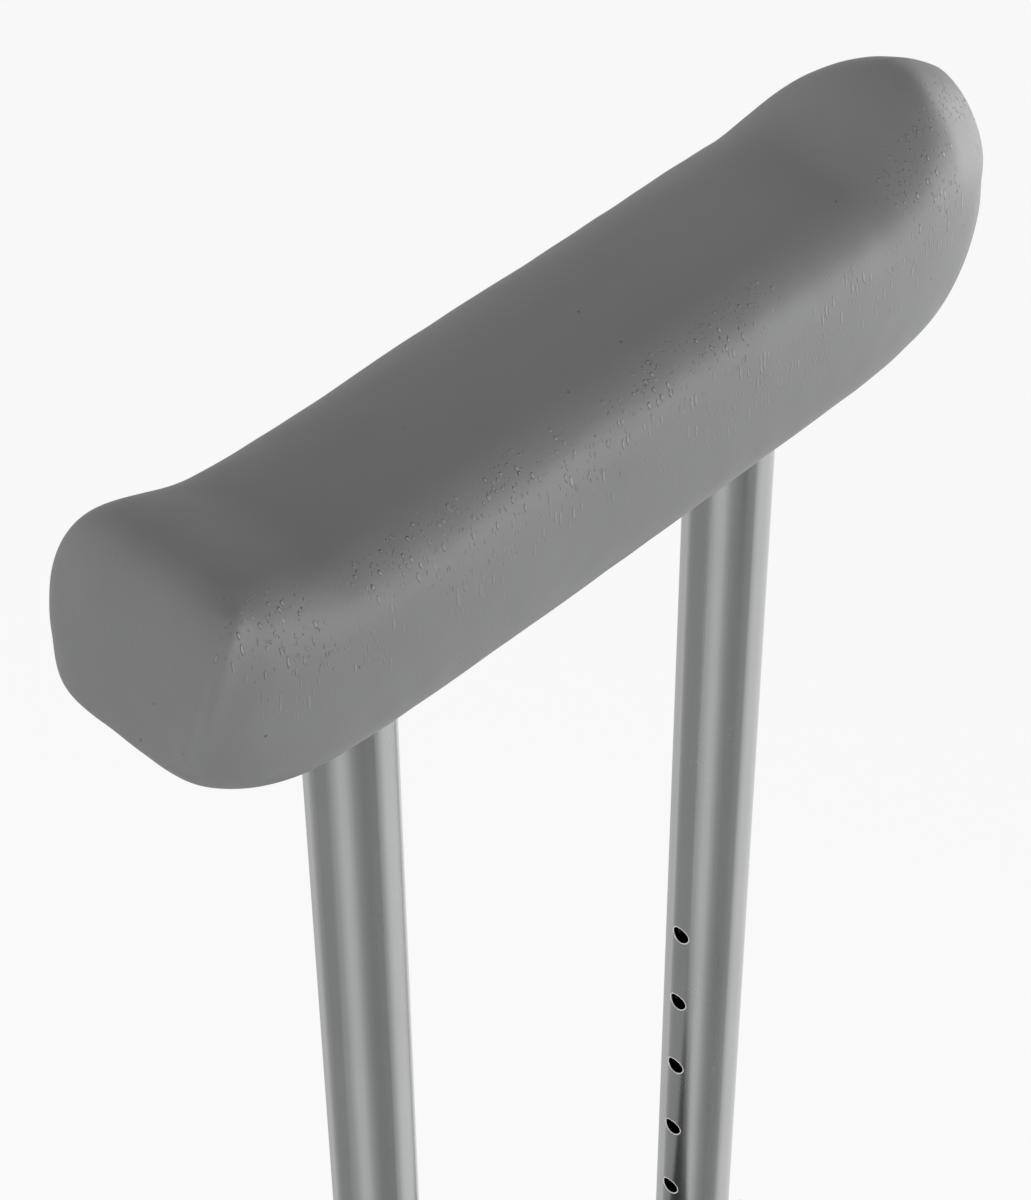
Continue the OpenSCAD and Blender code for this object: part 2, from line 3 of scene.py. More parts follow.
import bpy
import numpy as np
from mathutils import Matrix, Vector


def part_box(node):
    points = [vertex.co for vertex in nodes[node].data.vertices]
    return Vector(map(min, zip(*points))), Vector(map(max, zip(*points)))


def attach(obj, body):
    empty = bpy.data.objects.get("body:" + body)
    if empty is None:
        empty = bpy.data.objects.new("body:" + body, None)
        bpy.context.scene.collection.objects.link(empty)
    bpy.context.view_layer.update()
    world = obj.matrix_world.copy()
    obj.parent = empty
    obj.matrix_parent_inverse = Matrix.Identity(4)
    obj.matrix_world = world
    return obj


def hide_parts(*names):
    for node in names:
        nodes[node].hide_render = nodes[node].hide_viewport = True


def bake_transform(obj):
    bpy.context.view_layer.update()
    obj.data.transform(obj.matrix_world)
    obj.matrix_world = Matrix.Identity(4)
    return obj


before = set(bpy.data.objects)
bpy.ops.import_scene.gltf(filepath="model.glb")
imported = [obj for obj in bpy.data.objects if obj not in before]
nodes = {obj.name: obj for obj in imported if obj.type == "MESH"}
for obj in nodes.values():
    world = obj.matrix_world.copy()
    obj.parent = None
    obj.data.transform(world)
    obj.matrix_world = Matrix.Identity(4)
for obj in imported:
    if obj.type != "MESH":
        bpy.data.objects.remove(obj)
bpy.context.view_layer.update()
print("frame loaded:", len(nodes), "nodes")

crutches = {"first": 200.0, "second": -200.0}  # name and place along Y of each crutch, mm
sizes = dict(  # mm, the same as the solids have
    tubeX=58.5, tubeRadius=10.0, holeRadius=2.6, lowHole=608.943, holePitch=25.4, holes=13,
    centreRadius=12.7, buttonHole=3.7, topButton=324.6, buttonHoles=7, gripZ=761.343,
    boltLow=387.2, boltPitch=56.0)
sharpFrom = 48  # degrees between two faces from which their edge stays crisp


# shapes, in mm until they become a mesh: a grid of points becomes a closed shell


# six times the volume inside a list of faces, from the corners' triple products
def signedVolume(points, faces):
    a, b, c = (points[faces[:, i]] for i in range(3))
    return np.einsum("ij,ij->i", a, np.cross(b, c)).sum()


# rings (n, m, 3) become quads between neighbours; a loop joins the last ring to the first,
# otherwise each end is closed by a fan round its ring's middle; faces point outwards
def shell(rings, loop=False):
    n, m = rings.shape[:2]
    j = np.arange(m)
    k = (j + 1) % m
    i = np.arange(n if loop else n - 1)[:, None] * m
    after = (i + m) % (n * m)
    quads = np.stack([i + j, i + k, after + k, after + j], -1).reshape(-1, 4)
    points = rings.reshape(-1, 3)
    fans = np.zeros((0, 3), int)
    if not loop:
        points = np.vstack([points, rings[0].mean(0), rings[-1].mean(0)])
        first = np.stack([np.full(m, n * m), k, j], -1)
        last = np.stack([np.full(m, n * m + 1), (n - 1) * m + j, (n - 1) * m + k], -1)
        fans = np.vstack([first, last])
    corners = np.vstack([quads[:, [0, 1, 2]], quads[:, [0, 2, 3]], fans])
    if signedVolume(points - points.mean(0), corners) < 0:
        quads, fans = quads[:, ::-1], fans[:, ::-1]
    return points, quads.tolist() + fans.tolist()


# profile points (r, z) turned about +Z; bulge(angle, r, z) moves each radius in or out
def turned(profile, around=72, loop=False, bulge=None):
    angle = np.linspace(0, 2 * np.pi, around, endpoint=False)[None, :]
    r, z = profile[:, :1] + 0 * angle, profile[:, 1:] + 0 * angle
    r = r if bulge is None else r + bulge(angle, r, z)
    return shell(np.stack([r * np.cos(angle), r * np.sin(angle), z], -1), loop)


# each corner becomes a short quadratic curve between points a radius away on its two sides,
# with a support point beyond each end so that the flats stay flat when shaded smooth
def rounded(corners, radius, steps=5, loop=False):
    p = np.array(corners, float)
    before, after = np.roll(p, 1, 0), np.roll(p, -1, 0)
    def towards(q, reach):
        d = q - p
        size = np.linalg.norm(d, axis=1, keepdims=True) + 1e-9
        return p + d * np.minimum(reach / size, 0.46)
    s = np.linspace(0, 1, steps)[None, :, None]
    a, b = towards(before, radius)[:, None], towards(after, radius)[:, None]
    curve = (1 - s) ** 2 * a + 2 * s * (1 - s) * p[:, None] + s * s * b
    support = [towards(q, 1.35 * radius)[:, None] for q in (before, after)]
    line = np.concatenate([support[0], curve, support[1]], 1)
    if loop:
        return line.reshape(-1, 2)
    return np.vstack([p[:1], line[1:-1].reshape(-1, 2), p[-1:]])


# swaps axes so that a shape drawn about +Z lies along +X, then moves it
def alongX(made, at=(0, 0, 0), flip=False):
    points, faces = made
    x, y, z = points.T
    points = np.stack([-z, y, x] if flip else [z, y, -x], -1)
    return points + np.array(at, float), faces


# a shape shifted by (x, y, z)
def moved(made, at):
    return made[0] + np.array(at, float), made[1]


# shells (in mm) joined into one mesh, with its place in the mesh
def makeMesh(name, shells, material):
    points, faces, start = [], [], 0
    for p, f in shells:
        points.append(p)
        faces += [[v + start for v in face] for face in f]
        start += len(p)
    mesh = bpy.data.meshes.new(name)
    mesh.from_pydata((np.vstack(points) / 1000).tolist(), [], faces)
    mesh.shade_smooth()
    mesh.set_sharp_from_angle(angle=math.radians(sharpFrom))
    mesh.materials.append(material)
    piece = bpy.data.objects.new(name, mesh)
    bpy.context.scene.collection.objects.link(piece)
    return piece


# the same piece on both crutches
def makePair(name, shells, material, body, replaced=()):
    made = []
    for crutch, y in crutches.items():
        piece = makeMesh(crutch + "." + name, [moved(s, (0, y, 0)) for s in shells], material)
        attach(piece, crutch + "_" + body)
        if replaced:
            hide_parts(*[crutch + "_" + node for node in replaced])
        made.append(piece)
    return made


# 0 below 0, 1 above 1, and a smooth cubic step between
def ease(t):
    t = np.clip(t, 0, 1)
    return t * t * (3 - 2 * t)


# shader helpers: a node of a kind, with each input linked to a socket or set to a value
def addNode(tree, kind, inputs=None, **settings):
    made = tree.nodes.new("ShaderNode" + kind)
    for key, value in settings.items():
        setattr(made, key, value)
    for key, value in (inputs or {}).items():
        if isinstance(value, bpy.types.NodeSocket):
            tree.links.new(value, made.inputs[key])
        else:
            made.inputs[key].default_value = value
    return made


# one sum on two values or sockets
def calc(tree, operation, a, b=0.0):
    return addNode(tree, "Math", {0: a, 1: b}, operation=operation).outputs[0]


# a smooth step from one value to another between low and high
def remap(tree, value, low, high, toLow=0.0, toHigh=1.0):
    inputs = {"Value": value, "From Min": low, "From Max": high, "To Min": toLow, "To Max": toHigh}
    return addNode(tree, "MapRange", inputs, interpolation_type="SMOOTHSTEP").outputs["Result"]


# the point on the piece, in metres, squeezed or stretched along each axis
def objectPoint(tree, scale=(1, 1, 1)):
    place = addNode(tree, "TexCoord").outputs["Object"]
    return addNode(tree, "Mapping", {"Vector": place, "Scale": scale}).outputs["Vector"]


# cloudy noise about 0.5, with scale clumps to a metre
def noise(tree, point, scale, detail=2.0, roughness=0.5, distortion=0.0):
    inputs = {"Vector": point, "Scale": scale, "Detail": detail, "Roughness": roughness}
    return addNode(tree, "TexNoise", {**inputs, "Distortion": distortion}).outputs["Fac"]


# an empty group with named inputs (and their values) and outputs
def newGroup(name, inputs, outputs):
    tree = bpy.data.node_groups.new(name, "ShaderNodeTree")
    for title, value in inputs.items():
        socket = tree.interface.new_socket(name=title, in_out="INPUT", socket_type="NodeSocketFloat")
        socket.default_value = value
    for title in outputs:
        tree.interface.new_socket(name=title, in_out="OUTPUT", socket_type="NodeSocketFloat")
    return tree, tree.nodes.new("NodeGroupInput").outputs, tree.nodes.new("NodeGroupOutput").inputs


# small spots, one in each of those cells whose random number is over a limit; each one's size grows with
# the number, and its edge is soft
def spots(tree, stretch, scale, channel, limit, largest, soft):
    point = objectPoint(tree, stretch)
    cells = addNode(tree, "TexVoronoi", {"Vector": point, "Scale": scale, "Randomness": 1.0})
    pick = addNode(tree, "SeparateColor", {"Color": cells.outputs["Color"]}).outputs[channel]
    size = remap(tree, pick, limit, 1.0, 0.0, largest)
    return remap(tree, calc(tree, "SUBTRACT", size, cells.outputs["Distance"]), 0.0, soft)


# foam skin: fine grain; upright dashes from the mould, raised and sunk, in clumps on the upper part of the
# sides, with painted highlight on the raised ones and painted shade on the sunk ones; scattered pits, each
# with painted shade in it, and pale flecks that are painted highlights on tiny raised specks, where only some
# of the cells have one
def foamSkinGroup():
    tree, given, out = newGroup("foamSkin", {"Grain": 1.0, "Pits": 1.0, "Blisters": 1.0}, ["Height", "Shade"])
    point = objectPoint(tree)
    grain = calc(tree, "MULTIPLY", noise(tree, point, 1300, 3), given["Grain"])
    facing = addNode(tree, "SeparateXYZ", {0: addNode(tree, "NewGeometry").outputs["Normal"]}).outputs
    level = addNode(tree, "SeparateXYZ", {0: addNode(tree, "TexCoord").outputs["Object"]}).outputs["Z"]
    steep = remap(tree, facing["Z"], 0.72, 0.94, 1.0, 0.0)
    upper = calc(tree, "MULTIPLY", steep, remap(tree, level, 1.102, 1.131))
    sideways = remap(tree, calc(tree, "ABSOLUTE", facing["Y"]), 0.25, 0.6, 0.08, 1.0)
    upper = calc(tree, "MULTIPLY", upper, sideways)
    clumps = calc(tree, "MULTIPLY", remap(tree, noise(tree, point, 52, 2), 0.36, 0.58), upper)
    clumps = calc(tree, "MULTIPLY", clumps, given["Blisters"])
    raised = spots(tree, (1, 1, 0.22), 820.0, "Red", 0.02, 0.36, 0.14)
    fine = spots(tree, (1, 1, 0.4), 1250.0, "Green", 0.2, 0.34, 0.14)
    raised = calc(tree, "MAXIMUM", raised, calc(tree, "MULTIPLY", fine, 0.7))
    sunk = calc(tree, "MULTIPLY", spots(tree, (1, 1, 0.3), 1000.0, "Blue", 0.5, 0.3, 0.14), 0.45)
    shadedDashes = calc(tree, "MULTIPLY", calc(tree, "SUBTRACT", raised, sunk), calc(tree, "MULTIPLY", clumps, 2.1))
    shadedPit = calc(tree, "MULTIPLY", spots(tree, (1, 1, 1), 230.0, "Red", 0.6, 0.09, 0.04), given["Pits"])
    fleckHighlight = calc(tree, "MULTIPLY", spots(tree, (1, 1, 0.5), 620.0, "Green", 0.66, 0.2, 0.06), clumps)
    height = calc(tree, "ADD", calc(tree, "MULTIPLY", grain, 0.2), shadedDashes)
    height = calc(tree, "ADD", height, calc(tree, "MULTIPLY", fleckHighlight, 0.5))
    tree.links.new(calc(tree, "SUBTRACT", height, shadedPit), out["Height"])
    cloud = remap(tree, noise(tree, point, 28, 3), 0.3, 0.7, 0.975, 1.025)
    # painted shade: the colour is darkened in each pit
    shade = calc(tree, "SUBTRACT", cloud, calc(tree, "MULTIPLY", shadedPit, 0.35))
    # painted highlight and shade: raised dashes lighten the colour and sunk ones darken it
    shade = calc(tree, "ADD", shade, calc(tree, "MULTIPLY", shadedDashes, 0.24))
    # painted highlight: the pale flecks lighten the colour
    tree.links.new(calc(tree, "ADD", shade, calc(tree, "MULTIPLY", fleckHighlight, 0.5)), out["Shade"])
    return tree


# fine grain for moulded plastic and rubber: spark-eroded cells with a slower swell in them
def mouldGrainGroup():
    tree, given, out = newGroup("mouldGrain", {"Scale": 1400.0, "Swell": 0.3}, ["Height", "Shade"])
    point = objectPoint(tree)
    cells = addNode(tree, "TexVoronoi", {"Vector": point, "Scale": given["Scale"]}, feature="SMOOTH_F1")
    slow = calc(tree, "MULTIPLY", noise(tree, point, 90, 2), given["Swell"])
    tree.links.new(calc(tree, "ADD", cells.outputs["Distance"], slow), out["Height"])
    tree.links.new(remap(tree, noise(tree, point, 140, 4), 0.3, 0.7, 0.9, 1.1), out["Shade"])
    return tree


# marks left by drawing and handling: lines along Z, a slow cloud, and thin scratches at random angles
def drawnMetalGroup():
    tree, given, out = newGroup("drawnMetal", {"Lines": 1.0, "Scratches": 1.0}, ["Height", "Shade", "Rough"])
    point = objectPoint(tree)
    lines = noise(tree, objectPoint(tree, (1, 1, 0.006)), 2600, 2, 0.7)
    lines = calc(tree, "MULTIPLY", calc(tree, "SUBTRACT", lines, 0.5), given["Lines"])
    bent = noise(tree, objectPoint(tree, (1.0, 0.35, 0.2)), 260, 1, 0.4, 1.2)
    scratch = remap(tree, calc(tree, "ABSOLUTE", calc(tree, "SUBTRACT", bent, 0.5)), 0.0, 0.006, 1.0, 0.0)
    worn = remap(tree, noise(tree, point, 24, 2), 0.52, 0.66)
    scratch = calc(tree, "MULTIPLY", calc(tree, "MULTIPLY", scratch, worn), given["Scratches"])
    tree.links.new(calc(tree, "SUBTRACT", lines, calc(tree, "MULTIPLY", scratch, 0.6)), out["Height"])
    cloud = remap(tree, noise(tree, point, 18, 3), 0.3, 0.7, 0.97, 1.03)
    tree.links.new(calc(tree, "ADD", cloud, calc(tree, "MULTIPLY", scratch, 0.05)), out["Shade"])
    rough = calc(tree, "ADD", calc(tree, "MULTIPLY", lines, 0.12), calc(tree, "MULTIPLY", scratch, 0.1))
    tree.links.new(rough, out["Rough"])
    return tree


# dust that settles on faces that look up, broken by noise
def dustGroup():
    tree, given, out = newGroup("dust", {"Amount": 0.2}, ["Mask"])
    up = addNode(tree, "SeparateXYZ", {0: addNode(tree, "NewGeometry").outputs["Normal"]}).outputs["Z"]
    patch = remap(tree, noise(tree, objectPoint(tree), 160, 5, 0.65), 0.4, 0.75)
    mask = calc(tree, "MULTIPLY", remap(tree, up, -0.1, 1.0, 0.12, 1.0), patch)
    tree.links.new(calc(tree, "MULTIPLY", mask, given["Amount"]), out["Mask"])
    return tree


# 1 inside a tube's bore, where painted shade darkens it: nearer to its upright axis than its inner radius;
# the axis is at a place along X on either side, and at either crutch along Y
def boreShadeGroup():
    tree, given, out = newGroup("bore", {"AxisX": 0.0585, "Inner": 0.0092, "From": 0.5}, ["Mask"])
    place = addNode(tree, "SeparateXYZ", {0: addNode(tree, "TexCoord").outputs["Object"]}).outputs
    x = calc(tree, "SUBTRACT", calc(tree, "ABSOLUTE", place["X"]), given["AxisX"])
    y = calc(tree, "SUBTRACT", calc(tree, "ABSOLUTE", place["Y"]), crutches["first"] / 1000)
    reach = calc(tree, "SQRT", calc(tree, "ADD", calc(tree, "MULTIPLY", x, x), calc(tree, "MULTIPLY", y, y)))
    deep = remap(tree, calc(tree, "SUBTRACT", given["Inner"], reach), -0.0003, 0.0001)
    above = calc(tree, "GREATER_THAN", place["Z"], given["From"])
    tree.links.new(calc(tree, "MULTIPLY", deep, above), out["Mask"])
    return tree


groups = {"bore": boreShadeGroup(), "foam": foamSkinGroup(), "grain": mouldGrainGroup(),
          "metal": drawnMetalGroup(), "dust": dustGroup()}


# a material whose colour is its tint times a shade, and whose bump (its distance in metres) comes from one of
# the groups; dust settles on it, and a tube's bore is painted near black as shade
def newMaterial(name, colour, roughness, group, values, bump, roughSpread=0.0, dust=0.0, bore=None,
                **constants):
    material = bpy.data.materials.new(name)
    material.use_nodes = True
    tree = material.node_tree
    shader = tree.nodes["Principled BSDF"]
    effect = addNode(tree, "Group", node_tree=groups[group])
    for title, value in values.items():
        effect.inputs[title].default_value = value
    tint = addNode(tree, "Mix", {"Factor": 1.0, "A": (*colour, 1.0), "B": effect.outputs["Shade"]},
                   data_type="RGBA", blend_type="MULTIPLY").outputs["Result"]
    if dust:
        settled = addNode(tree, "Group", {"Amount": dust}, node_tree=groups["dust"]).outputs["Mask"]
        tint = addNode(tree, "Mix", {"Factor": settled, "A": tint, "B": (0.5, 0.49, 0.47, 1.0)},
                       data_type="RGBA").outputs["Result"]
    # painted shade: the inside of a tube's bore is coloured near black
    if bore:
        inside = addNode(tree, "Group", bore, node_tree=groups["bore"]).outputs["Mask"]
        tint = addNode(tree, "Mix", {"Factor": inside, "A": tint, "B": (0.012, 0.012, 0.012, 1.0)},
                       data_type="RGBA").outputs["Result"]
    tree.links.new(tint, shader.inputs["Base Color"])
    if roughSpread:
        if group == "metal":
            spread = effect.outputs["Rough"]
        else:
            spread = calc(tree, "SUBTRACT", effect.outputs["Shade"], 1.0)
        rough = calc(tree, "MULTIPLY_ADD", spread, roughSpread)
        rough.node.inputs[2].default_value = roughness
        tree.links.new(rough, shader.inputs["Roughness"])
    else:
        shader.inputs["Roughness"].default_value = roughness
    bumpNode = addNode(tree, "Bump", {"Height": effect.outputs["Height"], "Strength": 1.0, "Distance": bump})
    tree.links.new(bumpNode.outputs["Normal"], shader.inputs["Normal"])
    for title, value in constants.items():
        shader.inputs[title].default_value = value
    return material


tubeColour = (0.6, 0.612, 0.61)
finish = {
    "padFoam": newMaterial(
        "padFoam", (0.19, 0.192, 0.192), 0.46, "foam", {"Grain": 1.0, "Pits": 1.0, "Blisters": 1.0}, 0.00022,
        IOR=1.45),
    "gripFoam": newMaterial(
        "gripFoam", (0.03, 0.031, 0.033), 0.8, "foam", {"Grain": 2.2, "Pits": 0.7, "Blisters": 0.0}, 0.0003,
        dust=0.1, IOR=1.42),
    "rubber": newMaterial(
        "rubber", (0.1, 0.1, 0.102), 0.7, "grain", {"Scale": 1100.0, "Swell": 0.6}, 0.00008,
        roughSpread=0.5, dust=0.22, IOR=1.5),
    "plastic": newMaterial(
        "plastic", (0.022, 0.022, 0.024), 0.42, "grain", {"Scale": 2000.0, "Swell": 0.3}, 0.00005,
        roughSpread=0.7, dust=0.08, IOR=1.5),
    # the uprights and the centre tube get painted shade in their bores
    "tube": newMaterial(
        "tube", tubeColour, 0.24, "metal", {"Lines": 1.0, "Scratches": 0.5}, 0.00001,
        roughSpread=1.0, bore={"AxisX": 0.0585, "Inner": 0.0096, "From": 0.6}, Metallic=1.0),
    "centreTube": newMaterial(
        "centreTube", tubeColour, 0.24, "metal", {"Lines": 1.0, "Scratches": 0.9}, 0.00001,
        roughSpread=1.0, bore={"AxisX": 0.0, "Inner": 0.0123, "From": 0.1}, Metallic=1.0),
    "legTube": newMaterial(
        "legTube", tubeColour, 0.24, "metal", {"Lines": 1.0, "Scratches": 1.4}, 0.00001,
        roughSpread=1.0, Metallic=1.0),
    # the hole rims: bare drilled metal with a painted highlight, near-white and half matt so that it stays
    # bright under any light
    "rim": newMaterial(
        "rim", (0.9, 0.9, 0.9), 0.35, "metal", {"Lines": 0.4, "Scratches": 0.2}, 0.00001, Metallic=0.5),
    "steel": newMaterial(
        "steel", (0.63, 0.64, 0.66), 0.3, "metal", {"Lines": 0.6, "Scratches": 1.0}, 0.00001,
        roughSpread=0.8, Metallic=1.0),
}
print("materials made:", len(finish))

# the finish of each solid
cadFinish = dict(
    crosspiece="plastic", crosspiece_rivets="steel", front_upright="tube", rear_upright="tube",
    upright_plugs="plastic", centre_tube="centreTube", centre_cap="plastic", frame_bolts="steel",
    frame_washers="steel", frame_nuts="steel", leg_collar="plastic", leg_tube="legTube", leg_glide="plastic",
    button_spring="steel", left_button="steel", right_button="steel", tip="rubber", tip_washer="steel",
    grip_core="plastic", grip_foam="gripFoam", grip_bolt="steel", grip_washers="steel", wing_nut="steel",
    underarm_pad="padFoam")
for crutch in crutches:
    for node, kind in cadFinish.items():
        mesh = nodes[crutch + "_" + node].data
        mesh.materials.clear()
        mesh.materials.append(finish[kind])


# underarm pad

# mm, or shares of half the length from the middle; fitted to the photo's outline
padShape = dict(
    length=235.3, middle=4.37, shift=-0.37, underside=1084.53, height=51.58, topWidth=54.80,
    bottomWidth=55.40, squareFront=3.38, squareBack=2.43, squareBottom=4.23,
    pitch=0.0069, lean=0.0012, yaw=-0.0073,
    # the near (front) end first, the far (rear) end second
    rise=(12.70, 13.24), riseFrom=(0.671, 0.570), crest=(0.931, 0.810), crisp=(1.99, 4.59),
    slant=(0.571, 0.824), lift=(10.93, 19.90), liftFrom=(0.747, 0.768), planFront=(8.03, 3.78),
    planBack=(6.31, 5.95), noseBottom=(7.43, 9.88), noseHeight=(0.233, 0.641), turn=(2.78, -1.31),
    squarerFront=(0.50, -1.39), squarerBack=(1.81, -1.50), tilt=(-2.27, 4.86), drop=(-1.04, 3.00),
    flare=(0.84, -0.23),
    endsFrom=0.55, tipRound=0.14,  # where the ends begin and how round a tip is, shares of half the length
    # a seam line, measured from the underside's level, and the way along which it is seen; mm
    seam=[(-102.6, -20.1, 50.7), (-109.2, -20.7, 39.9), (-113.0, -18.3, 24.2)],
    seamSide=(0.467, 0.552, -0.70), seamHeight=1.35, seamWidth=2.8, seamUntil=-70,
    slit=4.5, slitDepth=5.4, slitEnd=62, pucker=1.6, puckerReach=3.5,
    swell=0.1, swellLength=38, waves=0.05, waveLength=11, seed=7, rings=330, around=250)


# a slow random swell: many cosine waves of about one length, in random directions
def swell(points, length, seed, count=28):
    rng = np.random.default_rng(seed)
    way = rng.normal(size=(3, count))
    way *= 2 * np.pi / (length * np.linalg.norm(way, axis=0)) * rng.uniform(0.7, 1.4, count)
    return np.cos(points @ way + rng.uniform(0, 6.28, count)).sum(-1) / math.sqrt(count)


# angles round a squared section, spaced evenly along it but closer near the slit at its lowest point
def sectionAngles(shape):
    v = np.linspace(-1.5 * np.pi, 0.5 * np.pi, 20001)
    y = 28 * np.sign(np.cos(v)) * np.abs(np.cos(v)) ** (2 / 3.3)
    z = 25 * np.sign(np.sin(v)) * np.abs(np.sin(v)) ** (2 / 3.3)
    step = np.hypot(np.diff(y), np.diff(z)) * (1 + 2.2 * np.exp(-((y[1:] / 6) ** 2)) * (z[1:] < 0))
    total = np.concatenate([[0], np.cumsum(step)])
    return np.interp(np.linspace(0, total[-1], shape["around"], endpoint=False), total, v)


# a soft raised seam down the near corner: its height falls off with the distance from a line of points, as
# seen from one side, and it is only on the skin that faces that side
def seam(points, out, shape):
    way = np.array(shape["seamSide"]) / np.linalg.norm(shape["seamSide"])
    flat = points - (points @ way)[..., None] * way
    line = np.array(shape["seam"], float)
    line = line - (line @ way)[:, None] * way
    near = np.full(points.shape[:2], 99.0)
    for a, b in zip(line, line[1:]):
        t = np.clip((flat - a) @ (b - a) / ((b - a) @ (b - a)), 0, 1)
        near = np.minimum(near, np.linalg.norm(flat - a - t[..., None] * (b - a), axis=-1))
    facing = ease(-(out @ way) * 5) * ease((shape["seamUntil"] - points[..., 0]) / 10)
    return shape["seamHeight"] * np.exp(-(near / shape["seamWidth"]) ** 2) * facing


# how much of the top's height over the nose is left: all of it before the crest, then a power of the way
# left to the tip, which turns into a square root near the tip so that the tip is round
def noseFall(a, end, tipRound):
    left = (1 - a) / (1 - end["crest"])
    fall = (1 + left ** (-end["slant"] * end["crisp"])) ** (-1 / end["crisp"])
    return fall * (1 + (tipRound / left) ** 2) ** ((end["slant"] - 0.5) / 2)


# rings of a squared section along X: the top rises to a crest, tilts and drops at its front corner, and past
# the crest slants down into the nose; the underside lifts to it, and the width closes in plan; the slit and
# a pucker round each tube are pressed up into the underside
def padRings(shape):
    s = np.linspace(-1, 1, shape["rings"] + 2)[1:-1]
    u = np.sign(s) * (1 - (1 - np.abs(s)) ** 2.4)
    a = np.abs(u)
    end = {k: np.where(u < 0, v[0], v[1]) for k, v in shape.items() if isinstance(v, tuple)}
    climb = ease((a - end["riseFrom"]) / (np.minimum(end["crest"] + 0.04, 1) - end["riseFrom"]))
    top = shape["height"] + end["rise"] * climb
    under = end["lift"] * np.clip((a - end["liftFrom"]) / (1 - end["liftFrom"]), 0, None) ** 2
    nose = end["lift"] + end["noseHeight"] * (shape["height"] + end["rise"] - end["lift"])
    fall, whole = (noseFall(q, end, shape["tipRound"]) for q in (a, 0 * a))
    high = nose + (top - nose) * (fall + (1 - whole) * (1 - ease(a / 0.5)))
    low = nose + (under - nose) * (1 - a ** end["noseBottom"]) ** (1 / end["noseBottom"])
    end = {k: v[:, None] for k, v in end.items()}
    a, climb, high, low, u = (q[:, None] for q in (a, climb, high, low, u))
    v = sectionAngles(shape)
    near = ease((a - shape["endsFrom"]) / (1 - shape["endsFrom"]))
    front = shape["squareFront"] + end["squarerFront"] * near
    back = shape["squareBack"] + end["squarerBack"] * near
    power = 2 / np.where(np.sin(v) > 0, np.where(np.cos(v) < 0, front, back), shape["squareBottom"])
    side = np.sign(np.cos(v)) * np.abs(np.cos(v)) ** power
    up = np.sign(np.sin(v)) * np.abs(np.sin(v)) ** power
    plan = np.where(np.cos(v) < 0, end["planFront"], end["planBack"])
    width = shape["topWidth"] + (shape["bottomWidth"] - shape["topWidth"]) * (0.5 - 0.5 * up)
    width = width + end["flare"] * climb
    y = side * width / 2 * (1 - a ** plan) ** (1 / plan)
    z = (high + low) / 2 + up * (high - low) / 2
    corner = end["tilt"] * a ** 2 * y / 28 - end["drop"] * near * ease(-y / 26 - 0.1)
    z = z + np.maximum(up, 0) * corner
    x = shape["middle"] + u * shape["length"] / 2 + 0 * y
    y = y + end["turn"] * a ** 3 + shape["lean"] * (z - 20)
    placed = [x - shape["yaw"] * y, y + shape["yaw"] * x + shape["shift"], z + shape["pitch"] * x]
    rings = np.stack(placed, -1)
    out = np.cross(np.gradient(rings, axis=0), np.roll(rings, -1, 1) - np.roll(rings, 1, 1))
    out /= np.linalg.norm(out, axis=-1, keepdims=True) + 1e-9
    out *= np.sign((out * (rings - rings.mean((0, 1)))).sum())
    move = shape["swell"] * swell(rings, shape["swellLength"], shape["seed"])
    move = move + shape["waves"] * swell(rings, shape["waveLength"], shape["seed"] + 1)
    move = move + seam(rings, out, shape)
    rings = rings + out * move[..., None]
    below = up < -0.5
    inSlit = ease((shape["slit"] + 0.5 - np.abs(rings[..., 1])) / 0.9)
    inSlit = inSlit * ease((shape["slitEnd"] - np.abs(x)) / 4)
    reach = np.hypot(np.abs(x) - sizes["tubeX"], rings[..., 1]) - sizes["tubeRadius"]
    pucker = shape["pucker"] * ease(1 - reach / shape["puckerReach"]) * below
    rings[..., 2] += shape["slitDepth"] * inSlit * below + pucker
    rings[..., 2] += shape["underside"]
    return rings


padShell = shell(padRings(padShape))
padPieces = makePair("pad", [padShell], finish["padFoam"], "frame", ["underarm_pad"])
print("pads made")


# rims of the drilled holes: bare metal with a painted highlight

rimShape = dict(lip=0.17, sunk=0.07, around=32, section=8)


# a thin ring along the curve where a drill meets a tube: the drill's circle (across, up) is laid on the
# tube's round, and the ring's section stands on the outward way of the tube and the way out from the drill
def holeRim(tubeAxis, tubeRadius, drill, height, side, way, shape):
    t = np.linspace(0, 2 * np.pi, shape["around"], endpoint=False)[:, None]
    a = np.linspace(0, 2 * np.pi, shape["section"], endpoint=False)[None, :]
    across, up = drill * np.cos(t), drill * np.sin(t)
    deep = np.sqrt((tubeRadius - shape["sunk"]) ** 2 - across ** 2)
    outWay, away = shape["lip"] * np.sin(a), shape["lip"] * np.cos(a)
    forward = side * (deep + outWay * deep / tubeRadius) + 0 * a
    sideways = across + away * np.cos(t) + outWay * across / tubeRadius
    upwards = height + up + away * np.sin(t)
    x, y = (forward, sideways) if way == "x" else (sideways, forward)
    return shell(np.stack([x + tubeAxis, y + 0 * a, upwards + 0 * a], -1), loop=True)


# both mouths of each grip hole on the uprights, and of each button hole on the centre tube
def makeRims(shape):
    heights = sizes["lowHole"] + sizes["holePitch"] * np.arange(sizes["holes"])
    for place, axis in (("front", -sizes["tubeX"]), ("rear", sizes["tubeX"])):
        rings = [holeRim(axis, sizes["tubeRadius"], sizes["holeRadius"], z, side, "x", shape)
                 for z in heights for side in (-1, 1)]
        makePair(place + ".rims", rings, finish["rim"], "frame")
    heights = sizes["topButton"] - sizes["holePitch"] * np.arange(sizes["buttonHoles"])
    rings = [holeRim(0, sizes["centreRadius"], sizes["buttonHole"], z, side, "y", shape)
             for z in heights for side in (-1, 1)]
    makePair("centre.rims", rings, finish["rim"], "frame")


makeRims(rimShape)
print("rims made")


# hand grip

